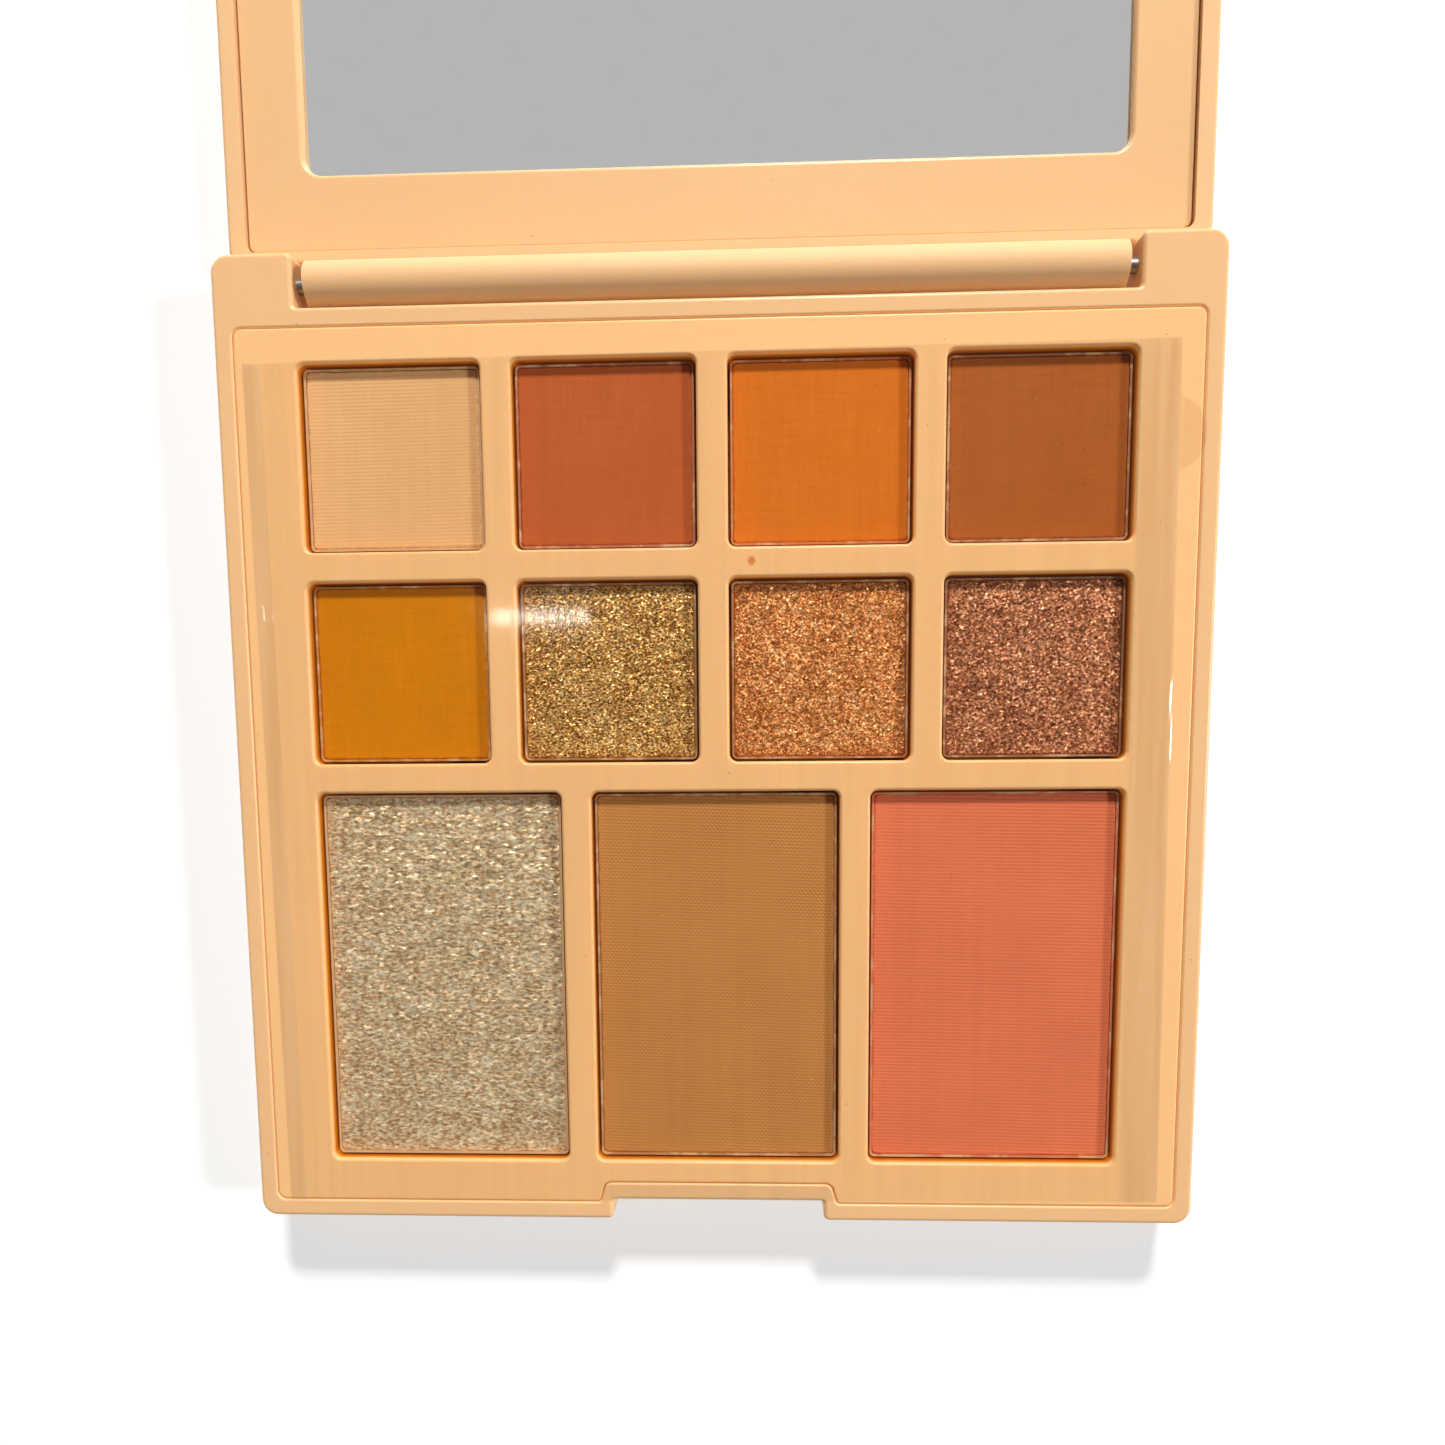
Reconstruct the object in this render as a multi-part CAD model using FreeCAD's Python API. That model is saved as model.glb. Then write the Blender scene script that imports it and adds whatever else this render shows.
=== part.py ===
import FreeCAD, Part
import math
import os

# Square clamshell make-up palette, lying open at 180 degrees. All sizes in mm.
# The hinge axis is parallel to X above the origin. The base lies on the -Y side and the open lid
# on the +Y side. The outer faces of both lie on z = 0.

# Driving dimensions: casing
half_width = 55.6
front_reach = 108.1            # hinge axis to the front edge, base and lid alike
ear_reach = 2.9                # hinge axis to the rear face of the ears
corner_radius = 2.0
edge_radius = 0.5
foot_radius = 0.8
hinge_height = 6.5             # half of the closed thickness
base_height = 8.5
parting_gap = 0.4              # leaves room for the clear cover's pull tab
lid_height = 2 * hinge_height - base_height - parting_gap
floor_thickness = 1.2
rim_width = 2.1
rim_rear = -5.0                # rear edge of the tray opening
moulding_gap = 0.1             # parting line between a casing and its inner moulding
line_radius = 0.25             # softened edges along that parting line

# Driving dimensions: hinge
recess_half_width = 46.4
recess_front = -2.9
barrel_half_length = 45.0
barrel_radius = 2.6
pin_radius = 0.8
pin_running_gap = 0.05
pin_inner_end = 38.0
pin_outer_end = 55.2
ear_clearance = 0.7            # open lid to the rear face of the ears

# Driving dimensions: front notch and latch
notch_half_width = 12.6
notch_depth = 2.4
notch_corner = 0.6
notch_root = 0.4
relief_half_width = 13.4
relief_slant = 0.7             # the relief is this much wider at its mouth
relief_corner = 1.0
relief_depth = 4.5             # front edge to the flat of the tray's relief
bead_half_length = 2.7
bead_depth = 0.5
bead_z = 6.1
tab_half_width = 12.1
tab_outer_inset = 0.5
tab_thickness = 1.0
tab_drop = 4.0
catch_depth = 0.3
catch_height = 0.6

# Driving dimensions: pans and their pockets
pan_small = 20.0
pan_rib = 4.05                 # pan to pan across the palette
pan_rib_rows = 3.97            # pan to pan from row to row
pan_large_depth = 43.4
pans_rear = -9.2
pan_gap = 0.3
pan_corner = 0.6
pan_wall = 0.25
pan_height = 2.9
pan_sink = 1.2                 # tray surface down to the pan rims
glue_thickness = 0.1
glue_radius = 4.0
pocket_wall = 1.0
pocket_floor = 0.8
plate_thickness = 1.2
window_lip = 0.35
powder_sink = 0.1
powder_edge = 0.3

# Driving dimensions: tray skirt and its snaps
skirt_thickness = 1.0
skirt_height = 3.6
snap_half_length = 4.0
snap_radius = 0.5
snap_depth = 0.35
snap_z = 6.0
snap_slack = 0.1

# Driving dimensions: clear cover
cover_size = (103.2, 97.0)
cover_centre = (-0.45, -57.1)
cover_thickness = 0.25
cover_turn = 0.35              # degrees, lying slightly askew
cover_corner = 0.8
hem_left = 1.9
hem_right = 4.4
tab_radius = 4.17
tab_y = -18.6                  # centre of the half-round pull tab
tab_reach = 54.3

# Driving dimensions: mirror and its frame
frame_gap = 0.15
frame_top = 3.6
window_half_width = 46.5
window_rear = 13.5
window_front = 97.5
mirror_overlap = 1.5
mirror_thickness = 1.2
mirror_corner = 2.0
tape_thickness = 0.25
tape_inset = 4.0
mirror_play = 0.05

small_pitch = pan_small + pan_rib
block_width = 3 * small_pitch + pan_small
pan_large_width = (block_width - 2 * pan_rib) / 3
large_pitch = pan_large_width + pan_rib
rim_z = base_height - pan_sink
pan_floor_z = rim_z - pan_height
pocket_z = pan_floor_z - glue_thickness

SHADES = (
    ("cream", "terracotta", "orange", "brown"),
    ("mustard", "gold", "copper", "rose"),
    ("champagne", "bronzer", "blush"),
)


def corner_arc(before, corner, after, radius):
    """Two tangent points and the middle point of an arc that rounds a corner."""
    to_before = (before - corner).normalize()
    to_after = (after - corner).normalize()
    half_angle = to_before.getAngle(to_after) / 2
    setback = radius / math.tan(half_angle)
    bisector = (to_before + to_after).normalize()
    centre = corner + bisector * (radius / math.sin(half_angle))
    start = corner + to_before * setback
    end = corner + to_after * setback
    middle = centre - bisector * radius
    return start, middle, end


def outline_face(points):
    """Flat face at z = 0 from (x, y, corner radius) points."""
    corners = [FreeCAD.Vector(x, y, 0) for x, y, radius in points]
    arcs = []
    for index, (x, y, radius) in enumerate(points):
        before = corners[index - 1]
        after = corners[(index + 1) % len(points)]
        arcs.append(corner_arc(before, corners[index], after, radius))
    edges = []
    for index, (start, middle, end) in enumerate(arcs):
        edges.append(Part.Arc(start, middle, end).toShape())
        next_start = arcs[(index + 1) % len(arcs)][0]
        edges.append(Part.makeLine(end, next_start))
    return Part.Face(Part.Wire(Part.__sortEdges__(edges)))


def prism(points, low, high):
    """Straight solid from an outline, between two heights."""
    face = outline_face(points)
    face.translate(FreeCAD.Vector(0, 0, low))
    return face.extrude(FreeCAD.Vector(0, 0, high - low))


def rectangle(x_low, x_high, y_low, y_high, radius):
    """Outline points of a rectangle with rounded corners."""
    return [
        (x_low, y_low, radius),
        (x_high, y_low, radius),
        (x_high, y_high, radius),
        (x_low, y_high, radius),
    ]


def block(x_low, x_high, y_low, y_high, z_low, z_high):
    """Plain box between two corners."""
    corner = FreeCAD.Vector(x_low, y_low, z_low)
    return Part.makeBox(x_high - x_low, y_high - y_low, z_high - z_low, corner)


def rod(radius, x_low, x_high, y, z):
    """Round bar along X."""
    return Part.makeCylinder(
        radius, x_high - x_low, FreeCAD.Vector(x_low, y, z), FreeCAD.Vector(1, 0, 0)
    )


def flat_edges(shape, z, keep):
    """Edges that lie in one horizontal plane and whose centre passes a test."""
    found = []
    for edge in shape.Edges:
        box = edge.BoundBox
        level = abs(box.ZMin - z) < 1e-4 and abs(box.ZMax - z) < 1e-4
        if level and keep(box.Center.x, box.Center.y):
            found.append(edge)
    return found


def base_outline():
    """Outside of the base: thumb notch in front, hinge recess behind."""
    notch_y = -front_reach + notch_depth
    return [
        (-half_width, -front_reach, corner_radius),
        (-notch_half_width, -front_reach, notch_corner),
        (-notch_half_width, notch_y, notch_root),
        (notch_half_width, notch_y, notch_root),
        (notch_half_width, -front_reach, notch_corner),
        (half_width, -front_reach, corner_radius),
        (half_width, ear_reach, corner_radius),
        (recess_half_width, ear_reach, notch_corner),
        (recess_half_width, recess_front, notch_root),
        (-recess_half_width, recess_front, notch_root),
        (-recess_half_width, ear_reach, notch_corner),
        (-half_width, ear_reach, corner_radius),
    ]


def tray_outline(gap):
    """Opening inside the base rim, drawn in by a gap."""
    side = half_width - rim_width - gap
    front = -front_reach + rim_width + gap
    rear = rim_rear - gap
    relief_x = relief_half_width + gap
    mouth_x = relief_x + relief_slant
    relief_y = -front_reach + relief_depth + gap
    return [
        (-side, front, corner_radius / 2),
        (-mouth_x, front, notch_root),
        (-relief_x, relief_y, relief_corner),
        (relief_x, relief_y, relief_corner),
        (mouth_x, front, notch_root),
        (side, front, corner_radius / 2),
        (side, rear, corner_radius / 2),
        (-side, rear, corner_radius / 2),
    ]


def pan_places():
    """Shade name, centre and size of each pan, row by row from the hinge."""
    places = []
    row_y = pans_rear - pan_small / 2
    for row in SHADES[:2]:
        for column, shade in enumerate(row):
            x = (column - 1.5) * small_pitch
            places.append((shade, x, row_y, pan_small, pan_small))
        row_y -= pan_small + pan_rib_rows
    large_y = row_y + pan_small / 2 - pan_large_depth / 2
    for column, shade in enumerate(SHADES[2]):
        x = (column - 1) * large_pitch
        places.append((shade, x, large_y, pan_large_width, pan_large_depth))
    return places


def pan_box(place, grow, low, high):
    """Rounded block on a pan's centre, grown or shrunk on every side."""
    shade, x, y, width, depth = place
    half_x = width / 2 + grow
    half_y = depth / 2 + grow
    radius = max(pan_corner + grow, pan_wall)
    return prism(rectangle(x - half_x, x + half_x, y - half_y, y + half_y, radius), low, high)


def snap_places():
    """Middle and direction (+1 or -1 along X) of each snap down the sides."""
    middle = (rim_rear - front_reach + rim_width) / 2
    spacing = 32.0
    return [(side, middle + step * spacing) for side in (-1, 1) for step in (-1, 0, 1)]


def snap_bar(side, y, radius, half_length, depth):
    """Round bar along Y that stands out of the tray skirt by its depth."""
    wall_x = half_width - rim_width - moulding_gap
    x = side * (wall_x + depth - radius)
    return Part.makeCylinder(
        radius, 2 * half_length, FreeCAD.Vector(x, y - half_length, snap_z),
        FreeCAD.Vector(0, 1, 0)
    )


def base_shell():
    """Lower casing with ears, notch, latch bead, floor ribs and snap grooves."""
    body = prism(base_outline(), 0, base_height)
    every_edge = lambda x, y: True
    body = body.makeFillet(edge_radius, flat_edges(body, base_height, every_edge))
    body = body.makeFillet(foot_radius, flat_edges(body, 0, every_edge))
    body = body.cut(prism(tray_outline(0), floor_thickness, base_height + 1))
    side = half_width - rim_width + 0.01

    def on_opening(x, y):
        inside = abs(x) < side and -front_reach + rim_width - 0.01 < y < rim_rear + 0.01
        return inside

    body = body.makeFillet(line_radius, flat_edges(body, base_height, on_opening))
    body = body.fuse(floor_ribs())
    for end in (-1, 1):
        outer = end * (half_width + 1)
        inner = end * (recess_half_width - 1)
        body = body.cut(rod(pin_radius, min(outer, inner), max(outer, inner), 0, hinge_height))
    for direction, y in snap_places():
        groove = snap_bar(
            direction, y, snap_radius + snap_slack, snap_half_length + snap_slack, snap_depth
        )
        body = body.cut(groove)
    return body.fuse(latch_bead()).removeSplitter()


def floor_ribs():
    """Ribs on the base floor that carry the pockets of the tray."""
    rib = 1.0
    rib_top = pocket_z - pocket_floor
    side = half_width - rim_width
    front = -front_reach + relief_depth
    ribs = []
    for row_y in sorted({place[2] for place in pan_places()}):
        ribs.append(block(-side, side, row_y - rib / 2, row_y + rib / 2, floor_thickness, rib_top))
    for column in (-1.5, 1.5):
        x = column * small_pitch
        ribs.append(block(x - rib / 2, x + rib / 2, front, rim_rear, floor_thickness, rib_top))
    grid = ribs[0]
    for one_rib in ribs[1:]:
        grid = grid.fuse(one_rib)
    return grid


def latch_bead():
    """Small rounded bead on the wall of the thumb notch."""
    wall_y = -front_reach + notch_depth
    bar = rod(bead_depth, -bead_half_length, bead_half_length, wall_y, bead_z)
    return bar.makeFillet(bead_depth / 2, [edge for edge in bar.Edges if edge.Closed])


def pan_tray():
    """Inner moulding: plate with eleven lipped windows, pockets below them, snap skirt."""
    outside = tray_outline(moulding_gap)
    plate_low = base_height - plate_thickness
    tray = prism(outside, plate_low, base_height)
    tray = tray.makeFillet(line_radius, flat_edges(tray, base_height, lambda x, y: True))
    skirt = prism(outside, base_height - skirt_height, plate_low)
    skirt = skirt.cut(
        prism(tray_outline(moulding_gap + skirt_thickness), base_height - skirt_height, plate_low)
    )
    tray = tray.fuse(skirt)
    for place in pan_places():
        pocket = pan_box(place, pan_gap + pocket_wall, pocket_z - pocket_floor, plate_low)
        tray = tray.fuse(pocket)
    for place in pan_places():
        tray = tray.cut(pan_box(place, pan_gap, pocket_z, base_height + 1))
    block_half = block_width / 2 + pan_gap + 0.01
    front = pan_places()[-1][2] - pan_large_depth / 2 - pan_gap - 0.01

    def on_window(x, y):
        return abs(x) < block_half and front < y < pans_rear + pan_gap + 0.01

    tray = tray.makeFillet(window_lip, flat_edges(tray, base_height, on_window))
    for direction, y in snap_places():
        tray = tray.fuse(snap_bar(direction, y, snap_radius, snap_half_length, snap_depth))
    return tray.removeSplitter()


def pan(place):
    """Thin pressed tin dish."""
    dish = pan_box(place, 0, pan_floor_z, rim_z)
    return dish.cut(pan_box(place, -pan_wall, pan_floor_z + pan_wall, rim_z + 1))


def powder(place):
    """Pressed powder cake that fills a pan, its top edge softened."""
    top = rim_z - powder_sink
    cake = pan_box(place, -pan_wall, pan_floor_z + pan_wall, top)
    return cake.makeChamfer(powder_edge / 2, flat_edges(cake, top, lambda x, y: True))


def pan_adhesive():
    """One glue dot under each pan."""
    dots = []
    for shade, x, y, width, depth in pan_places():
        corner = FreeCAD.Vector(x, y, pocket_z)
        dots.append(Part.makeCylinder(glue_radius, glue_thickness, corner))
    return Part.makeCompound(dots)


def clear_cover():
    """Thin clear sheet with a folded hem down each side and a half-round pull tab."""
    centre_x, centre_y = cover_centre
    half_x = cover_size[0] / 2
    half_y = cover_size[1] / 2
    low = base_height
    high = base_height + cover_thickness
    outside = rectangle(
        centre_x - half_x, centre_x + half_x, centre_y - half_y, centre_y + half_y, cover_corner
    )
    sheet = prism(outside, low, high)
    tab_centre = FreeCAD.Vector(tab_reach - tab_radius, tab_y, low)
    sheet = sheet.fuse(Part.makeCylinder(tab_radius, cover_thickness, tab_centre))
    hem_high = high + cover_thickness
    left = centre_x - half_x
    right = centre_x + half_x
    for x_low, x_high in ((left, left + hem_left), (right - hem_right, right)):
        strip = block(
            x_low, x_high, centre_y - half_y + cover_corner, centre_y + half_y - cover_corner,
            high, hem_high
        )
        sheet = sheet.fuse(strip)
    sheet = sheet.removeSplitter()
    sheet.rotate(FreeCAD.Vector(centre_x, centre_y, 0), FreeCAD.Vector(0, 0, 1), cover_turn)
    return sheet


def lid_shell():
    """Upper casing, lying open with its outer face down, and its hinge barrel."""
    near = ear_reach + ear_clearance
    outside = rectangle(-half_width, half_width, near, front_reach, corner_radius)
    body = prism(outside, 0, lid_height)
    every_edge = lambda x, y: True
    body = body.makeFillet(edge_radius, flat_edges(body, lid_height, every_edge))
    body = body.makeFillet(foot_radius, flat_edges(body, 0, every_edge))
    body = body.fuse(hinge_tongue(near + corner_radius))
    cavity = rectangle(
        -half_width + rim_width, half_width - rim_width, -rim_rear, front_reach - rim_width,
        corner_radius / 2
    )
    body = body.cut(prism(cavity, floor_thickness, lid_height + 1))
    body = body.fuse(latch_tab())
    reach = barrel_half_length + 1
    body = body.cut(
        rod(pin_radius + pin_running_gap, pin_inner_end - 0.5, reach, 0, hinge_height)
    )
    body = body.cut(
        rod(pin_radius + pin_running_gap, -reach, -pin_inner_end + 0.5, 0, hinge_height)
    )
    return body.removeSplitter()


def hinge_tongue(inner_y):
    """Barrel between the ears, and the rounded web that joins it to the lid."""
    web = 1.5
    swing = hinge_height
    outer_z = hinge_height - math.sqrt(swing ** 2 - barrel_radius ** 2)
    middle_angle = math.asin(barrel_radius / swing) / 2
    foot = FreeCAD.Vector(0, 0, 0)
    middle = FreeCAD.Vector(
        0, -swing * math.sin(middle_angle), hinge_height - swing * math.cos(middle_angle)
    )
    heel = FreeCAD.Vector(0, -barrel_radius, outer_z)
    path = [
        heel,
        FreeCAD.Vector(0, -barrel_radius, hinge_height),
        FreeCAD.Vector(0, -barrel_radius + web, hinge_height),
        FreeCAD.Vector(0, -barrel_radius + web, web),
        FreeCAD.Vector(0, inner_y, web),
        FreeCAD.Vector(0, inner_y, 0),
        foot,
    ]
    edges = [Part.Arc(foot, middle, heel).toShape()]
    for start, end in zip(path, path[1:]):
        edges.append(Part.makeLine(start, end))
    face = Part.Face(Part.Wire(Part.__sortEdges__(edges)))
    face.translate(FreeCAD.Vector(-barrel_half_length, 0, 0))
    tongue = face.extrude(FreeCAD.Vector(2 * barrel_half_length, 0, 0))
    barrel = rod(barrel_radius, -barrel_half_length, barrel_half_length, 0, hinge_height)
    return tongue.fuse(barrel)


def latch_tab():
    """Tab at the lid's front edge that drops into the thumb notch, with a catch lip."""
    outer_y = front_reach - tab_outer_inset
    inner_y = outer_y - tab_thickness
    top = lid_height + tab_drop
    tab = prism(
        rectangle(-tab_half_width, tab_half_width, inner_y, outer_y, tab_thickness / 4),
        lid_height - edge_radius, top
    )
    lip = rod(catch_depth, -bead_half_length * 2, bead_half_length * 2, inner_y,
              top - catch_height)
    return tab.fuse(lip)


def lid_frame():
    """Inner moulding of the lid: a flat ring whose lip holds the mirror's edge."""
    outside = rectangle(
        -half_width + rim_width + frame_gap, half_width - rim_width - frame_gap,
        -rim_rear + frame_gap, front_reach - rim_width - frame_gap, corner_radius / 2
    )
    ring = prism(outside, floor_thickness, frame_top)
    ring = ring.makeFillet(line_radius, flat_edges(ring, frame_top, lambda x, y: True))
    seat_top = floor_thickness + tape_thickness + mirror_thickness + mirror_play
    ring = ring.cut(prism(mirror_outline(mirror_play), floor_thickness, seat_top))
    ring = ring.cut(prism(mirror_outline(-mirror_overlap), floor_thickness, frame_top + 1))

    def on_window(x, y):
        return abs(x) < window_half_width + 0.01 and window_rear - 0.01 < y < window_front + 0.01

    return ring.makeFillet(edge_radius, flat_edges(ring, frame_top, on_window))


def mirror_outline(grow):
    """Outline of the mirror, grown or shrunk on every side."""
    half_x = window_half_width + mirror_overlap + grow
    low_y = window_rear - mirror_overlap - grow
    high_y = window_front + mirror_overlap + grow
    return rectangle(-half_x, half_x, low_y, high_y, mirror_corner)


def mirror():
    """Glass mirror, face up while the lid lies open."""
    low = floor_thickness + tape_thickness
    return prism(mirror_outline(0), low, low + mirror_thickness)


def mirror_tape():
    """Double-sided tape between the mirror and the lid."""
    return prism(
        mirror_outline(-tape_inset), floor_thickness, floor_thickness + tape_thickness
    )


def hinge_pin(side):
    """Steel pin, held in the ear and free to turn in the barrel."""
    inner = side * pin_inner_end
    outer = side * pin_outer_end
    return rod(pin_radius, min(inner, outer), max(inner, outer), 0, hinge_height)


def export(name, shape):
    """Write one piece, after making sure that it is sound."""
    if not shape.isValid():
        raise ValueError(name + " is not a valid solid")
    shape.exportStep("parts/" + name + ".step")


os.makedirs("parts", exist_ok=True)
export("base_shell", base_shell())
export("pan_tray", pan_tray())
for place in pan_places():
    export("pan_" + place[0], pan(place))
    export("powder_" + place[0], powder(place))
export("pan_adhesive", pan_adhesive())
export("clear_cover", clear_cover())
export("lid_shell", lid_shell())
export("lid_frame", lid_frame())
export("mirror", mirror())
export("mirror_tape", mirror_tape())
export("hinge_pin_left", hinge_pin(-1))
export("hinge_pin_right", hinge_pin(1))
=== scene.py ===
import math

import bmesh
import bpy
import numpy as np
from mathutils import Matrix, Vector, noise


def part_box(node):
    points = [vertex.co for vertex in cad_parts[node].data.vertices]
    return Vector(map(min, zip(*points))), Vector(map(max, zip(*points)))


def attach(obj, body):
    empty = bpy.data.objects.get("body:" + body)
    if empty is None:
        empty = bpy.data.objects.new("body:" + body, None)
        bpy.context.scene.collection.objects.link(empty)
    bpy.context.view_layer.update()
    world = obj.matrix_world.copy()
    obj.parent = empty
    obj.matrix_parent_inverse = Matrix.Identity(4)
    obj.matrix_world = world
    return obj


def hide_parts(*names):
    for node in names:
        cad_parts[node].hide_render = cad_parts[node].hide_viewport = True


# The open palette: powders pressed into tin pans, a moulded tray and casing, a loose clear film.
# Lengths are in metres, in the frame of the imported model. MM turns millimetres into metres.
MM = 0.001

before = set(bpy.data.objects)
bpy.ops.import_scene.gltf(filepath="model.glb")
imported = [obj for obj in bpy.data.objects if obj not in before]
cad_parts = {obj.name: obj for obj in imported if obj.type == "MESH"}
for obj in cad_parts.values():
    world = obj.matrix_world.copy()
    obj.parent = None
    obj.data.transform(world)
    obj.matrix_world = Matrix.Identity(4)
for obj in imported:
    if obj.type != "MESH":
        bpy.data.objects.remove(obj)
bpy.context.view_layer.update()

SHADES = (
    "cream", "terracotta", "orange", "brown",
    "mustard", "gold", "copper", "rose",
    "champagne", "bronzer", "blush",
)


# ---------------------------------------------------------------- node helpers

class Nodes:
    """A material's node tree with short calls for the nodes that this scene needs."""

    def __init__(self, name):
        self.material = bpy.data.materials.new(name)
        self.material.use_nodes = True
        self.tree = self.material.node_tree
        self.tree.nodes.clear()
        self.output = self.tree.nodes.new("ShaderNodeOutputMaterial")
        self.place = self.add("ShaderNodeTexCoord").outputs["Object"]

    def add(self, kind, inputs=None, **settings):
        """A new node with its settings made and its inputs linked or filled in."""
        node = self.tree.nodes.new(kind)
        for key, value in settings.items():
            setattr(node, key, value)
        for key, value in (inputs or {}).items():
            self.feed(node.inputs[key], value)
        return node

    def feed(self, socket, value):
        """Links a node's output to a socket, or sets the socket to a plain value."""
        if isinstance(value, bpy.types.NodeSocket):
            self.tree.links.new(value, socket)
        else:
            socket.default_value = value

    def mapped(self, scale=(1, 1, 1), turn=0.0):
        """Object coordinates, turned about Z and stretched."""
        node = self.add("ShaderNodeMapping", {
            "Vector": self.place,
            "Rotation": (0, 0, math.radians(turn)),
            "Scale": scale,
        })
        return node.outputs["Vector"]

    def noise(self, size, detail=2.0, roughness=0.5, vector=None):
        """Noise from 0 to 1 whose features are about size metres across."""
        node = self.add("ShaderNodeTexNoise", {
            "Vector": vector or self.place,
            "Scale": 1 / size,
            "Detail": detail,
            "Roughness": roughness,
        })
        return node.outputs["Fac"]

    def cells(self, size, vector=None):
        """Voronoi cells about size metres across."""
        return self.add("ShaderNodeTexVoronoi", {
            "Vector": vector or self.place,
            "Scale": 1 / size,
        })

    def scattered(self, size, channel, above):
        """Distance from the point of each cell, and 1 in the few cells that are chosen."""
        cells = self.cells(size)
        tint = self.part(cells.outputs["Color"], channel)
        return cells.outputs["Distance"], self.math("GREATER_THAN", tint, above)

    def part(self, colour, channel):
        """One channel of a colour."""
        return self.add("ShaderNodeSeparateColor", {"Color": colour}).outputs[channel]

    def axis(self, vector, name):
        """One coordinate of a vector."""
        return self.add("ShaderNodeSeparateXYZ", {"Vector": vector}).outputs[name]

    def vector(self, operation, *values):
        """Result of a vector operation."""
        node = self.add("ShaderNodeVectorMath", operation=operation)
        for socket, value in zip(node.inputs, values):
            self.feed(socket, value)
        return node.outputs["Vector"]

    def math(self, operation, a, b=0.0, c=0.0):
        """Result of an operation on numbers."""
        node = self.add("ShaderNodeMath", operation=operation)
        for socket, value in zip(node.inputs, (a, b, c)):
            self.feed(socket, value)
        return node.outputs[0]

    def remap(self, value, low, high, out_low=0.0, out_high=1.0, smooth=False):
        """A value carried from one range to another and held inside it."""
        node = self.add("ShaderNodeMapRange", {
            "Value": value,
            "From Min": low,
            "From Max": high,
            "To Min": out_low,
            "To Max": out_high,
        }, interpolation_type="SMOOTHSTEP" if smooth else "LINEAR")
        return node.outputs["Result"]

    def blend(self, factor, a, b, mode="MIX"):
        """One colour blended into another."""
        node = self.add("ShaderNodeMix", data_type="RGBA", blend_type=mode)
        self.feed(node.inputs["Factor"], factor)
        self.feed(node.inputs["A"], a)
        self.feed(node.inputs["B"], b)
        return node.outputs["Result"]

    def ramp(self, factor, stops):
        """Colour ramp from (position, colour) stops."""
        node = self.add("ShaderNodeValToRGB", {"Fac": factor})
        ramp = node.color_ramp
        while len(ramp.elements) < len(stops):
            ramp.elements.new(1.0)
        for element, (position, colour) in zip(ramp.elements, stops):
            element.position = position
            element.color = colour
        return node.outputs["Color"]

    def bump(self, height, distance, strength=1.0, normal=None):
        """Bumped normal: height 1 stands distance metres proud."""
        node = self.add("ShaderNodeBump", {
            "Height": height,
            "Distance": distance,
            "Strength": strength,
        })
        if normal is not None:
            self.feed(node.inputs["Normal"], normal)
        return node.outputs["Normal"]

    def principled(self, **values):
        """The Principled shader that the material shows; inputs are given in lower case."""
        names = {key.replace("_", " ").title(): value for key, value in values.items()}
        names = {key.replace("Ior", "IOR"): value for key, value in names.items()}
        shader = self.add("ShaderNodeBsdfPrincipled", names)
        self.tree.links.new(shader.outputs["BSDF"], self.output.inputs["Surface"])


def srgb(red, green, blue):
    """Linear colour from 0 to 255 display values."""
    def linear(value):
        value /= 255
        return value / 12.92 if value <= 0.04045 else ((value + 0.055) / 1.055) ** 2.4
    return (linear(red), linear(green), linear(blue), 1.0)


def lighter(colour, factor):
    """A linear colour made brighter or darker."""
    return tuple(min(1.0, part * factor) for part in colour[:3]) + (1.0,)


# ---------------------------------------------------------------- materials

CASING_PEACH = srgb(229, 184, 133)
TRAY_PEACH = srgb(239, 189, 131)
# Painted recess shade: the window walls turn this amber deeper down, standing in for light passing
# through and between the plastic.
PAINTED_RECESS_AMBER = srgb(200, 112, 0)
SPECK_BROWN = srgb(140, 84, 36)
# Least and greatest roughness of the plastic.
GLOSS = (0.31, 0.36)
# Painted glow, emission that stands in for light that has come through the plastic: at the parting
# line, and down the walls of a window, dimmer deep down.
PAINTED_SEAM_GLOW = (0.15, 0.09, 0.037, 1.0)
PAINTED_WINDOW_GLOW = [
    (0.0, (0.08, 0.036, 0.006, 1.0)),
    (0.25, (0.16, 0.07, 0.005, 1.0)),
    (0.6, (0.12, 0.036, 0.002, 1.0)),
    (1.0, (0.045, 0.009, 0.001, 1.0)),
]
SEAM_REACH = Vector((0.35 * MM, 0.35 * MM, 0))
ORANGE_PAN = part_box("pan_orange")[0]
SMUDGE_SIZE = 1.0 * MM
SMUDGE_PLACE = (ORANGE_PAN.x + 2.3 * MM, ORANGE_PAN.y - 1.9 * MM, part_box("pan_tray")[1].z)


def inside_box(n, low, high):
    """1 where the surface lies inside a box seen from above, 0 elsewhere."""
    mask = 1.0
    for name, start, end in (("X", low.x, high.x), ("Y", low.y, high.y)):
        along = n.axis(n.place, name)
        mask = n.math("MULTIPLY", mask, n.math("GREATER_THAN", along, start))
        mask = n.math("MULTIPLY", mask, n.math("LESS_THAN", along, end))
    return mask


def upright_faces(n):
    """1 on walls, 0 on level faces."""
    slope = n.axis(n.add("ShaderNodeNewGeometry").outputs["True Normal"], "Z")
    return n.remap(n.math("ABSOLUTE", slope), 0.85, 0.4, smooth=True)


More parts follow.
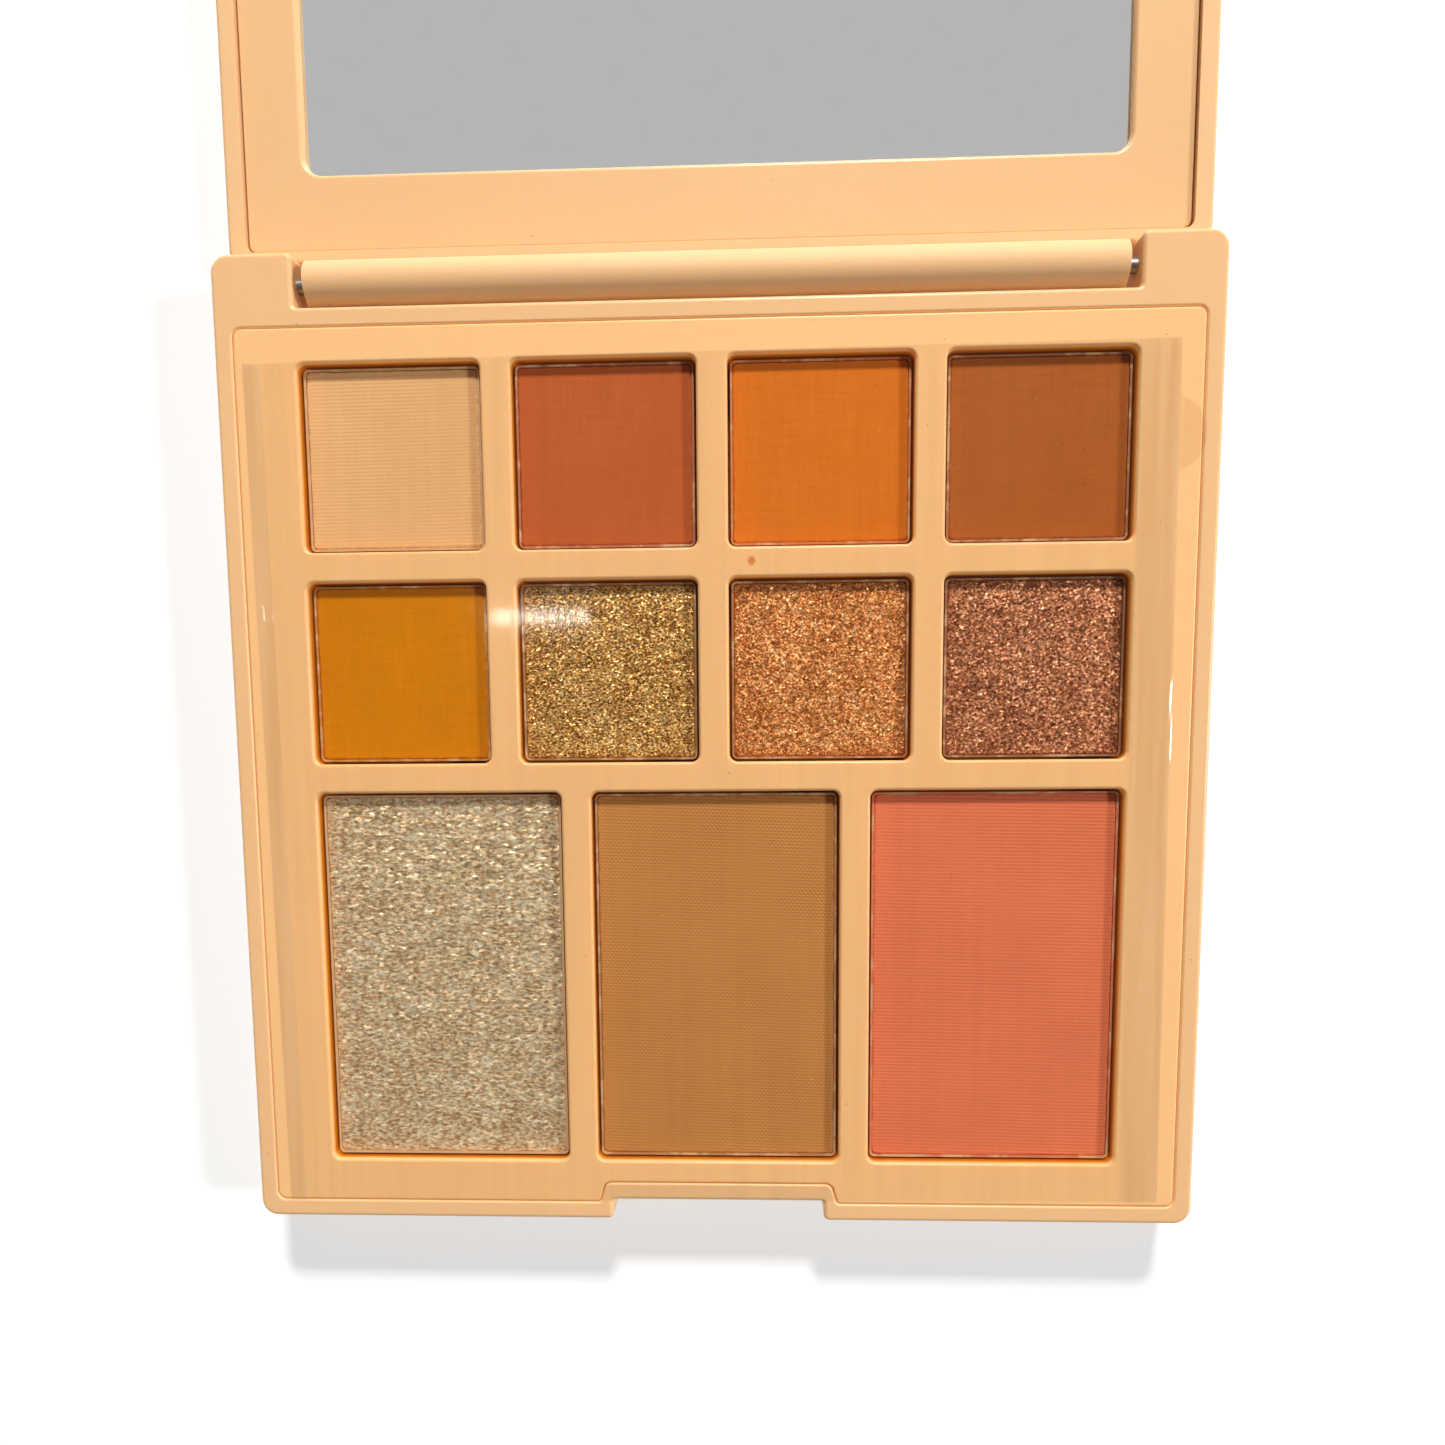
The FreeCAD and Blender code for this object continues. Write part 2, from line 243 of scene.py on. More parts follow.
def smudge(n, colour, place, size, tint):
    """A small soiled patch of powder on the plastic."""
    away = n.add("ShaderNodeVectorMath", {0: n.place, 1: place}, operation="DISTANCE")
    distance = away.outputs["Value"]
    ragged = n.math("MULTIPLY_ADD", n.noise(0.6 * MM, 3.0, 0.7), 0.9 * size, distance)
    cover = n.remap(ragged, 1.05 * size, 0.65 * size, 0.0, 0.85, smooth=True)
    return n.blend(cover, colour, tint)


def window_walls(n, colour, tray):
    """Painted amber shade down the window walls, and painted glow on them and on the parting line
    of the tray: colour, glow colour and strength.
    """
    top = tray[1].z
    height = n.axis(n.place, "Z")
    inner = inside_box(n, tray[0] + SEAM_REACH, tray[1] - SEAM_REACH)
    # Painted shade: the walls turn amber deeper into the windows.
    depth = n.remap(height, top - 0.25 * MM, top - 0.95 * MM, smooth=True)
    colour = n.blend(n.math("MULTIPLY", depth, inner), colour, PAINTED_RECESS_AMBER)
    # Painted glow down the walls, dimmer deep down.
    lit = n.ramp(n.remap(height, top, top - 1.6 * MM), PAINTED_WINDOW_GLOW)
    fade = n.remap(height, top - 3 * MM, top - 1.3 * MM, 0.3, 1)
    return colour, n.blend(inner, PAINTED_SEAM_GLOW, lit), n.math("MULTIPLY", upright_faces(n), fade)


def casing_plastic(name, peach=CASING_PEACH, tray=None, windows=False, satin=0.0):
    """Glossy peach moulding.

    Painted amber shade and painted glow (emission) stand in for light that enters it: down the
    walls of its windows and along the parting line round the tray, whose box is given. satin is
    added to the roughness.
    """
    n = Nodes(name)
    patches = n.remap(n.noise(25 * MM, 1.0), 0.2, 0.8)
    colour = n.blend(patches, lighter(peach, 0.985), lighter(peach, 1.015))
    glow = {}
    if windows:
        # Painted amber shade and painted glow down the window walls.
        colour, tint, strength = window_walls(n, colour, tray)
        colour = smudge(n, colour, SMUDGE_PLACE, SMUDGE_SIZE, MATTE["orange"][0])
        glow = {"emission_color": tint, "emission_strength": strength}
    elif tray is not None:
        # Painted glow on the walls of the parting gap round the tray.
        near_tray = inside_box(n, tray[0] - SEAM_REACH, tray[1] + SEAM_REACH)
        strength = n.math("MULTIPLY", upright_faces(n), near_tray)
        glow = {"emission_color": PAINTED_SEAM_GLOW, "emission_strength": strength}
    distance, chosen = n.scattered(1.7 * MM, "Red", 0.9)
    speck = n.math("MULTIPLY", n.math("LESS_THAN", distance, 0.06), chosen)
    colour = n.blend(n.math("MULTIPLY", speck, 0.5), colour, SPECK_BROWN)
    smear = n.noise(14 * MM, 2.0, 0.5)
    roughness = n.remap(smear, 0.2, 0.8, GLOSS[0] + satin, GLOSS[1] + satin)
    peel = n.noise(1.6 * MM, 2.0)
    normal = n.bump(peel, 0.002 * MM)
    n.principled(
        base_color=colour, roughness=roughness, ior=1.46, normal=normal, specular_ior_level=0.4,
        subsurface_weight=0.4, subsurface_radius=(1.0, 0.4, 0.08), subsurface_scale=0.8 * MM,
        **glow,
    )
    return n.material


def tinplate(name, dust):
    """Thin pressed tin with a satin finish, dulled by the powder that clings to it."""
    n = Nodes(name)
    cloud = n.noise(3.5 * MM, 4.0, 0.65)
    clean = n.remap(cloud, 0.48, 0.64, 0.1, 0.9, smooth=True)
    colour = n.blend(clean, lighter(dust, 0.72), srgb(232, 196, 150))
    dents = n.noise(0.9 * MM, 2.0)
    normal = n.bump(dents, 0.03 * MM)
    n.principled(
        base_color=colour, metallic=n.math("MULTIPLY", clean, 0.45),
        roughness=n.remap(clean, 0, 1, 0.6, 0.28), normal=normal,
    )
    return n.material


def steel(name):
    """Drawn steel wire of the hinge pins."""
    n = Nodes(name)
    lines = n.noise(0.2 * MM, 2.0, 0.6, n.mapped((0.05, 1, 1)))
    colour = n.blend(lines, srgb(150, 150, 152), srgb(190, 190, 192))
    n.principled(
        base_color=colour, metallic=1.0, roughness=n.remap(lines, 0, 1, 0.25, 0.45),
        normal=n.bump(lines, 0.004 * MM),
    )
    return n.material


def pressed_lines(n, pitch, turn):
    """Sine from -1 to 1 across parallel lines; turn is their tilt in degrees."""
    across = n.math("MULTIPLY", n.axis(n.place, "X"), math.sin(math.radians(turn)))
    across = n.math("MULTIPLY_ADD", n.axis(n.place, "Y"), math.cos(math.radians(turn)), across)
    return n.math("SINE", n.math("MULTIPLY", across, 2 * math.pi / pitch))


def press_cloth(n, shade):
    """Print of the press cloth, about 1 on average: ribs and twill, darker in the grooves of their
    relief as painted shade, or a faint thread.
    """
    fade = n.remap(n.noise(9 * MM, 2.0), 0.35, 0.6, 0.35, 1.0)
    if shade in RIBS:
        pitch, turn, depth = RIBS[shade]
        # Painted shade: ribs and twill are darker in the grooves of their relief.
        lines = pressed_lines(n, pitch, turn)
        tone = RIB_SHADE_TONE * depth / RIBS["blush"][2]
        return n.math("MULTIPLY_ADD", n.math("MULTIPLY", lines, fade), tone, 1.0)
    if shade == "bronzer":
        rows = pressed_lines(n, TWILL_ROWS[0], TWILL_ROWS[1])
        slants = pressed_lines(n, TWILL_SLANTS[0], TWILL_SLANTS[1])
        twill = n.math("MULTIPLY", n.math("ADD", rows, slants), fade)
        return n.math("MULTIPLY_ADD", twill, TWILL_SHADE_TONE, 1.0)
    thread = n.noise(0.34 * MM, 1.0, 0.5, n.mapped((0.08, 1, 1), 1.5))
    cross = n.noise(0.38 * MM, 1.0, 0.5, n.mapped((1, 0.08, 1), 1.5))
    weave = n.math("SUBTRACT", n.math("ADD", thread, cross), 1.0)
    return n.math("MULTIPLY_ADD", n.math("MULTIPLY", weave, fade), WEAVE_TONE, 1.0)


def worn_edge(n):
    """Ragged pale line of loose powder along the edge of a cake."""
    edge = n.add("ShaderNodeAttribute", attribute_name="edge").outputs["Fac"]
    ragged = n.math("MULTIPLY", edge, n.remap(n.noise(1.2 * MM, 4.0, 0.7), 0.42, 0.62))
    return n.remap(ragged, 0.1, 0.6, 0.0, 0.55)


def matte_powder(name, shade, base, low_tint):
    """Pressed matte powder: soft mottling, fine grain, pits darkened by painted shade, pale flecks
    and a cloth print whose ribs carry painted shade.
    """
    n = Nodes(name)
    cloud = n.noise(11 * MM, 4.0, 0.5)
    grain = n.noise(0.2 * MM, 3.0, 0.7)
    colour = n.blend(n.remap(cloud, 0.25, 0.75, 0.2, 0.8), low_tint, base)
    tone = n.math("MULTIPLY", n.remap(grain, 0.25, 0.75, 0.95, 1.05), press_cloth(n, shade))
    # Painted shade: small pits darkened where shade would fall in them.
    distance, chosen = n.scattered(2.3 * MM, "Red", 0.85)
    painted_pit_shade = n.math("MULTIPLY", n.remap(distance, 0.10, 0.04, smooth=True), chosen)
    tone = n.math("MULTIPLY", tone, n.math("MULTIPLY_ADD", painted_pit_shade, -0.16, 1.0))
    colour = n.blend(1.0, colour, n.add("ShaderNodeCombineColor", {
        "Red": tone, "Green": tone, "Blue": tone,
    }).outputs["Color"], "MULTIPLY")
    distance, chosen = n.scattered(1.4 * MM, "Green", 0.94)
    fleck = n.math("MULTIPLY", n.math("LESS_THAN", distance, 0.07), chosen)
    colour = n.blend(n.math("MULTIPLY", fleck, 0.5), colour, lighter(base, 1.8))
    colour = n.blend(worn_edge(n), colour, lighter(base, 1.5))
    height = n.noise(0.22 * MM, 3.0, 0.6)
    normal = n.bump(height, 0.014 * MM, 0.7)
    n.principled(
        base_color=colour, roughness=0.85, specular_ior_level=0.06, normal=normal,
        sheen_weight=0.02, sheen_roughness=0.6,
    )
    return n.material


def shimmer_powder(name, dark, middle, light, painted_glint, stretch, turn, grain):
    """Pressed shimmer: a foil-like crust of bright flakes over a darker bed; the flakes'
    brightness is partly painted sparkle, with painted glints on the brightest.
    """
    n = Nodes(name)
    along = n.mapped((1 / stretch, 1, 1), turn)
    crust = n.noise(grain, 3.0, 0.68, along)
    cloud = n.noise(4 * MM, 4.0, 0.6)
    clump = n.noise(grain * 4, 2.0, 0.5, along)
    level = n.math("ADD", crust, n.remap(cloud, 0.3, 0.7, -0.03, 0.03))
    level = n.math("ADD", level, n.remap(clump, 0.3, 0.7, -0.03, 0.03))
    # Painted sparkle: the brightest flakes carry a painted glint colour.
    colour = n.ramp(level, [(0.36, dark), (0.47, middle), (0.57, light), (0.66, painted_glint)])
    colour = n.blend(worn_edge(n), colour, light)
    flakes = n.cells(grain * 0.9, along)
    tilt = n.vector("SUBTRACT", flakes.outputs["Color"], (0.5, 0.5, 0.5))
    surface = n.add("ShaderNodeNewGeometry").outputs["Normal"]
    tilted = n.vector("MULTIPLY_ADD", tilt, FLAKE_TILT, surface)
    normal = n.bump(crust, 0.1 * MM, 0.7, n.vector("NORMALIZE", tilted))
    n.principled(
        base_color=colour, metallic=0.5, roughness=n.remap(crust, 0.4, 0.65, 0.5, 0.28),
        normal=normal,
    )
    return n.material


# What the single sheet and the folded hems let through, each between two tints, and their haze.
SHEET_TINTS = ((0.985, 0.982, 0.975, 1), (0.972, 0.967, 0.958, 1))
HEM_TINTS = ((1, 1, 1, 1), (0.985, 0.98, 0.97, 1))
FILM_HAZE = (0.9, 0.8, 0.64, 1)


def clear_film(name):
    """Thin clear film: almost nothing but its gloss, with faint streaks and fine scuffs."""
    n = Nodes(name)
    scuffs = n.noise(0.3 * MM, 3.0, 0.7, n.mapped((1, 0.05, 1), 12))
    ripple = n.noise(9 * MM, 1.0)
    normal = n.bump(ripple, 0.005 * MM)
    hem = n.add("ShaderNodeAttribute", attribute_name="hem").outputs["Fac"]
    streaks = n.noise(1.1 * MM, 2.0, 0.6, n.mapped((1, 0.03, 1), 0.4))
    sheet = n.blend(n.remap(streaks, 0.35, 0.65), *SHEET_TINTS)
    folded = n.blend(n.remap(streaks, 0.4, 0.6), *HEM_TINTS)
    clear = n.add("ShaderNodeBsdfTransparent", {"Color": n.blend(hem, sheet, folded)})
    haze = n.add("ShaderNodeBsdfDiffuse", {"Color": FILM_HAZE})
    haze_share = n.math("MULTIPLY_ADD", hem, n.remap(streaks, 0.35, 0.65, 0.035, 0.005), 0.001)
    clear = n.add("ShaderNodeMixShader", {0: haze_share, 1: clear.outputs[0], 2: haze.outputs[0]})
    gloss = n.add("ShaderNodeBsdfGlossy", {
        "Color": (1, 1, 1, 1), "Roughness": n.remap(scuffs, 0.5, 0.8, 0.05, 0.18),
        "Normal": normal,
    })
    facing = n.add("ShaderNodeFresnel", {"IOR": 1.45, "Normal": normal}).outputs["Fac"]
    inner_side = n.add("ShaderNodeNewGeometry").outputs["Backfacing"]
    outer_side = n.math("SUBTRACT", 1.0, inner_side)
    share = n.math("MULTIPLY", n.math("MULTIPLY", facing, 0.6), outer_side)
    mix = n.add("ShaderNodeMixShader", {0: share, 1: clear.outputs[0], 2: gloss.outputs[0]})
    n.tree.links.new(mix.outputs[0], n.output.inputs["Surface"])
    return n.material


def mirror_glass(name):
    """Silvered glass with a faint film of dust."""
    n = Nodes(name)
    dust = n.remap(n.noise(3 * MM, 5.0, 0.7), 0.4, 0.8, 0.01, 0.05)
    silver = n.add("ShaderNodeBsdfGlossy", {"Color": (0.9, 0.92, 0.92, 1), "Roughness": 0.0})
    film = n.add("ShaderNodeBsdfDiffuse", {"Color": (0.8, 0.8, 0.78, 1)})
    mix = n.add("ShaderNodeMixShader", {0: dust, 1: silver.outputs[0], 2: film.outputs[0]})
    n.tree.links.new(mix.outputs[0], n.output.inputs["Surface"])
    return n.material


def foam_tape(name):
    """White foam tape."""
    n = Nodes(name)
    pores = n.cells(0.3 * MM).outputs["Distance"]
    n.principled(
        base_color=n.blend(pores, srgb(240, 240, 236), srgb(214, 214, 210)), roughness=0.8,
        normal=n.bump(pores, 0.05 * MM),
    )
    return n.material


def glue(name):
    """Hardened hot-melt glue."""
    n = Nodes(name)
    cloud = n.noise(1.5 * MM, 2.0)
    n.principled(
        base_color=n.blend(cloud, srgb(236, 230, 210), srgb(222, 212, 186)), roughness=0.4,
        normal=n.bump(cloud, 0.05 * MM),
    )
    return n.material


def floor_paint(name):
    """Pale, slightly uneven studio floor that glows a little, so that shadows on it stay light."""
    n = Nodes(name)
    cloud = n.noise(0.08, 3.0)
    n.principled(
        base_color=n.blend(cloud, (0.62, 0.62, 0.62, 1), (0.64, 0.64, 0.635, 1)), roughness=0.7,
        specular_ior_level=0.1, emission_color=(1, 1, 1, 1), emission_strength=0.42,
    )
    return n.material


# Main and lower tint of the matte powders.
MATTE = {
    "cream": (srgb(232, 181, 127), srgb(221, 169, 112)),
    "terracotta": (srgb(188, 96, 51), srgb(180, 86, 38)),
    "orange": (srgb(215, 116, 36), srgb(206, 106, 12)),
    "brown": (srgb(174, 97, 45), srgb(163, 85, 24)),
    "mustard": (srgb(206, 124, 0), srgb(199, 118, 0)),
    "bronzer": (srgb(190, 130, 70), srgb(180, 119, 60)),
    "blush": (srgb(224, 119, 80), srgb(208, 109, 75)),
}
# Bed, crust, light parts and painted glints of the shimmers: the light parts and glints are partly
# painted sparkle of the flakes.
SHIMMER = {
    "gold": (srgb(84, 36, 0), srgb(166, 105, 20), srgb(238, 186, 104), srgb(255, 240, 184)),
    "copper": (srgb(130, 54, 0), srgb(183, 101, 28), srgb(228, 150, 84), srgb(255, 212, 152)),
    "rose": (srgb(96, 38, 6), srgb(148, 80, 40), srgb(198, 126, 82), srgb(240, 186, 144)),
    "champagne": (srgb(178, 141, 96), srgb(222, 184, 138), srgb(255, 235, 194),
                  srgb(255, 249, 220)),
}
# Line pitch, tilt in degrees and relief of the cloths that the ribbed cakes were pressed under.
RIBS = {
    "blush": (0.4 * MM, 1.2, 0.012 * MM),
    "cream": (0.4 * MM, -0.5, 0.008 * MM),
}
# Pitch and tilt of the twill's two sets of lines, and their relief.
TWILL_ROWS = (0.38 * MM, 2.0)
TWILL_SLANTS = (0.36 * MM, 52.0)
TWILL_DEPTH = 0.008 * MM
# How strongly ribs, twill and plain weave show in the colour; on ribs and twill this is painted
# shade in the grooves of their relief.
RIB_SHADE_TONE = 0.13
TWILL_SHADE_TONE = 0.15
WEAVE_TONE = 0.17
# Stretch, turn in degrees and grain of the shimmer crusts, and how far their flakes tilt.
SHIMMER_GRAIN = {
    "gold": (1.5, -50, 0.22 * MM),
    "copper": (1.2, 20, 0.21 * MM),
    "rose": (1.25, -30, 0.27 * MM),
    "champagne": (2.0, 4, 0.3 * MM),
}
FLAKE_TILT = (0.6, 0.6, 0.0)


def powder_tint(shade):
    """The colour that a powder leaves on what it touches."""
    return MATTE[shade][0] if shade in MATTE else SHIMMER[shade][1]


def powder_material(shade):
    """The finish of one pressed powder."""
    name = "powder_" + shade
    if shade in MATTE:
        base, low_tint = MATTE[shade]
        return matte_powder(name, shade, base, low_tint)
    dark, middle, light, painted_glint = SHIMMER[shade]
    stretch, turn, grain = SHIMMER_GRAIN[shade]
    return shimmer_powder(name, dark, middle, light, painted_glint, stretch, turn, grain)


# ---------------------------------------------------------------- pressed powders

def smooth_step(value):
    """0 below 0, 1 above 1 and a smooth rise between."""
    value = np.clip(value, 0.0, 1.0)
    return value * value * (3 - 2 * value)


def field(x, y, size, seed, stretch=(1.0, 1.0)):
    """Smooth noise from -1 to 1 at each point, with features about size metres across."""
    scale_x = 1 / (size * stretch[0])
    scale_y = 1 / (size * stretch[1])
    values = [
        noise.noise(Vector((px * scale_x, py * scale_y, seed)))
        for px, py in zip(x.ravel(), y.ravel())
    ]
    return np.array(values).reshape(x.shape)


def line_relief(x, y, pitch, turn):
    """Sine from -1 to 1 across parallel lines; turn is their tilt in degrees."""
    across = y * math.cos(math.radians(turn)) + x * math.sin(math.radians(turn))
    return np.sin(across * 2 * math.pi / pitch)


def crust_relief(x, y, size, depth, stretch, seed):
    """Uneven foil-like crust."""
    coarse = field(x, y, size, seed, stretch)
    fine = field(x, y, size * 0.45, seed + 7.3, stretch)
    return depth * (0.65 * coarse + 0.35 * fine)


# Grid steps of the cakes, fine across ribs and twill.
POWDER_STEP = {
    "blush": (0.9 * MM, 0.1 * MM),
    "cream": (0.7 * MM, 0.1 * MM),
    "bronzer": (0.12 * MM, 0.12 * MM),
}
SHIMMER_STEP = (0.17 * MM, 0.17 * MM)
PLAIN_STEP = (0.35 * MM, 0.35 * MM)
# Broad swell of every cake, and how far apart the worn parts of a print are.
SWELL_SIZE = 7 * MM
SWELL_DEPTH = 0.02 * MM
FADE_SIZE = 9 * MM
# Grain, depth and stretch of the crusts.
CHAMPAGNE_CRUST = (0.5 * MM, 0.05 * MM, (1.8, 0.8))
SHIMMER_CRUST = (0.42 * MM, 0.055 * MM, (1.0, 1.0))
MATTE_CRUST = (1.2 * MM, 0.006 * MM, (1.0, 1.0))
EDGE_WIDTH = 0.32 * MM
EDGE_DROP = 0.16 * MM
CRUMBLE_SIZE = 0.5 * MM
CRUMBLE_DEPTH = 0.06 * MM
WALL_GAP = 0.03 * MM
CAKE_CORNER = 0.5 * MM
CAKE_LIFT = 0.04 * MM
MERGE_DISTANCE = 0.002 * MM
# Where grid lines cross the rounded edge, in shares of its width.
EDGE_LINES = (0.0, 0.1, 0.22, 0.36, 0.52, 0.7, 0.85, 1.0, 1.2)


def powder_relief(shade, x, y, seed):
    """Height of the pressed surface above its flat level."""
    swell = SWELL_DEPTH * field(x, y, SWELL_SIZE, seed)
    fade = smooth_step(0.6 + 0.8 * field(x, y, FADE_SIZE, seed))
    if shade in RIBS:
        pitch, turn, depth = RIBS[shade]
        return swell + depth * fade * line_relief(x, y, pitch, turn)
    if shade == "bronzer":
        twill = line_relief(x, y, *TWILL_ROWS) + line_relief(x, y, *TWILL_SLANTS)
        return swell + TWILL_DEPTH * fade * twill
    if shade == "champagne":
        return swell + crust_relief(x, y, *CHAMPAGNE_CRUST, seed)
    if shade in SHIMMER:
        return swell + crust_relief(x, y, *SHIMMER_CRUST, seed)
    return swell + crust_relief(x, y, *MATTE_CRUST, seed)


def axis_points(half, step):
    """Points across a cake: close together over its rounded edges, then evenly spaced."""
    edge = np.array(EDGE_LINES) * EDGE_WIDTH
    inner = half - edge[-1]
    count = max(2, int(round(2 * inner / step)))
    middle = np.linspace(-inner, inner, count + 1)
    return np.concatenate([-half + edge[:-1], middle, half - edge[-2::-1]])


def pressed_powder(shade, seed):
    """Closed cake of pressed powder with rounded, slightly crumbled edges."""
    low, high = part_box("powder_" + shade)
    centre = (low + high) / 2
    half_x = (high.x - low.x) / 2 - WALL_GAP
    half_y = (high.y - low.y) / 2 - WALL_GAP
    step = POWDER_STEP.get(shade, SHIMMER_STEP if shade in SHIMMER else PLAIN_STEP)
    x, y = np.meshgrid(axis_points(half_x, step[0]), axis_points(half_y, step[1]), indexing="ij")
    over_x = np.maximum(np.abs(x) - (half_x - CAKE_CORNER), 0)
    over_y = np.maximum(np.abs(y) - (half_y - CAKE_CORNER), 0)
    reach = np.maximum(np.hypot(over_x, over_y), 1e-12)
    pull = np.minimum(1.0, CAKE_CORNER / reach)
    x = np.sign(x) * (np.abs(x) - over_x * (1 - pull))
    y = np.sign(y) * (np.abs(y) - over_y * (1 - pull))
    over_x = np.abs(x) - (half_x - CAKE_CORNER)
    over_y = np.abs(y) - (half_y - CAKE_CORNER)
    outside = np.hypot(np.maximum(over_x, 0), np.maximum(over_y, 0))
    inset = CAKE_CORNER - outside - np.minimum(np.maximum(over_x, over_y), 0)
    world_x = x + centre.x
    world_y = y + centre.y
    crumble = CRUMBLE_DEPTH * field(world_x, world_y, CRUMBLE_SIZE, seed + 3.1)
    rise = np.clip((inset + crumble) / EDGE_WIDTH, 0, 1)
    rounded = np.sqrt(np.maximum(0, 1 - (1 - rise) ** 2))
    surface = powder_relief(shade, world_x, world_y, seed) * rise
    z = high.z + CAKE_LIFT - EDGE_DROP * (1 - rounded) + surface
    return cake_mesh("powder_cake_" + shade, world_x, world_y, z, low.z, 1 - rise)


def cake_mesh(name, x, y, z, floor, edge):
    """Mesh from a grid of heights, closed with a skirt and a bottom and marked along its edge."""
    rows, columns = x.shape
    top = [tuple(point) for point in np.stack([x.ravel(), y.ravel(), z.ravel()], 1)]
    index = np.arange(rows * columns).reshape(rows, columns)
    quads = np.stack([index[:-1, :-1], index[1:, :-1], index[1:, 1:], index[:-1, 1:]], 2)
    faces = [tuple(quad) for quad in quads.reshape(-1, 4).tolist()]
    ring = (
        index[:, 0].tolist() + index[-1, 1:].tolist()
        + index[-2::-1, -1].tolist() + index[0, -2:0:-1].tolist()
    )
    base = len(top)
    bottom = [(top[i][0], top[i][1], floor) for i in ring]
    count = len(ring)
    for k in range(count):
        after = (k + 1) % count
        faces.append((ring[k], base + k, base + after, ring[after]))
    faces.append(tuple(base + k for k in range(count - 1, -1, -1)))
    mesh = bpy.data.meshes.new(name)
    mesh.from_pydata(top + bottom, [], faces)
    mark = mesh.attributes.new("edge", "FLOAT", "POINT")
    mark.data.foreach_set("value", np.concatenate([edge.ravel(), np.ones(count)]))
    mesh.validate()
    mesh.update()
    cake = bpy.data.objects.new(name, mesh)
    bpy.context.collection.objects.link(cake)
    build = bmesh.new()
    build.from_mesh(mesh)
    bmesh.ops.remove_doubles(build, verts=build.verts, dist=MERGE_DISTANCE)
    bmesh.ops.recalc_face_normals(build, faces=build.faces)
    build.to_mesh(mesh)
    build.free()
    mesh.polygons.foreach_set("use_smooth", [True] * len(mesh.polygons))
    return cake


def make_powders():
    """All pressed powders, each on its pan."""
    for number, shade in enumerate(SHADES):
        cake = pressed_powder(shade, 11.7 * (number + 1))
        cake.data.materials.append(powder_material(shade))
        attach(cake, "base")
        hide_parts("powder_" + shade)


# ---------------------------------------------------------------- clear film

FILM_WIDTH = 103.2 * MM
FILM_DEPTH = 97.0 * MM
FILM_TURN = math.radians(0.35)
FILM_THICKNESS = 0.1 * MM
TAB_RADIUS = 4.17 * MM
TAB_PLACE = -18.6 * MM
# Side and width of each hem, and the height and width of the ridges along its fold and its cut.
HEMS = ((-1, 1.9 * MM), (1, 4.4 * MM))
HEM_STEP = 0.1 * MM
FOLD_INSET, FOLD_WIDTH, FOLD_RISE = 0.4 * MM, 0.28 * MM, 0.2 * MM
CUT_INSET, CUT_WIDTH, CUT_RISE = 0.2 * MM, 0.16 * MM, 0.06 * MM
LAYER_GAP = 0.01 * MM
# The film ripples all over and lifts more towards its sides.
FILM_RIPPLE = 0.007 * MM
FILM_LIFT = 0.03 * MM
FLAT_REACH = 42 * MM
LIFTED_WIDTH = 10 * MM


def film_rest():
    """Middle of the film, worked out from the box of its CAD node."""
    low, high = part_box("clear_cover")
    reach = FILM_WIDTH / 2 * math.cos(FILM_TURN) + FILM_DEPTH / 2 * math.sin(FILM_TURN)
    return Vector((low.x + reach, (low.y + high.y) / 2, low.z)), high


def film_height(x, y):
    """How far the loose film stands off the tray: gentle ripples and lifting edges."""
    ripple = FILM_RIPPLE * (1 + field(x, y, 22 * MM, 4.4, (0.8, 1.6)))
    edge = np.clip((np.abs(x) - FLAT_REACH) / LIFTED_WIDTH, 0, 1)
    return ripple + FILM_LIFT * edge ** 2 * (1 + field(x, y, 6 * MM, 9.1, (0.5, 3.0)))


def film_layer(left, right, rows, turned_edge=0.0, lift=0.0, step=0.8 * MM):
    """Points of one layer of film between two outlines, on a grid that follows them."""
    spread = np.linspace(0, 1, max(6, int((right.max() - left.min()) / step)))
    x = left[None, :] + (right - left)[None, :] * spread[:, None]
    y = np.broadcast_to(rows[None, :], x.shape)
    height = film_height(x, y) + lift
    if turned_edge:
        fold, cut = (right, left) if turned_edge > 0 else (left, right)
        swell = 0.5 + 0.5 * field(x, y, 1.0 * MM, 6.6, (3.0, 9.0))
        bead = np.exp(-((x - fold[None, :] + turned_edge * FOLD_INSET) / FOLD_WIDTH) ** 2)
        edge = np.exp(-((x - cut[None, :] - turned_edge * CUT_INSET) / CUT_WIDTH) ** 2)
        height = height + (FOLD_RISE * bead + CUT_RISE * edge) * swell
    return x, y, height


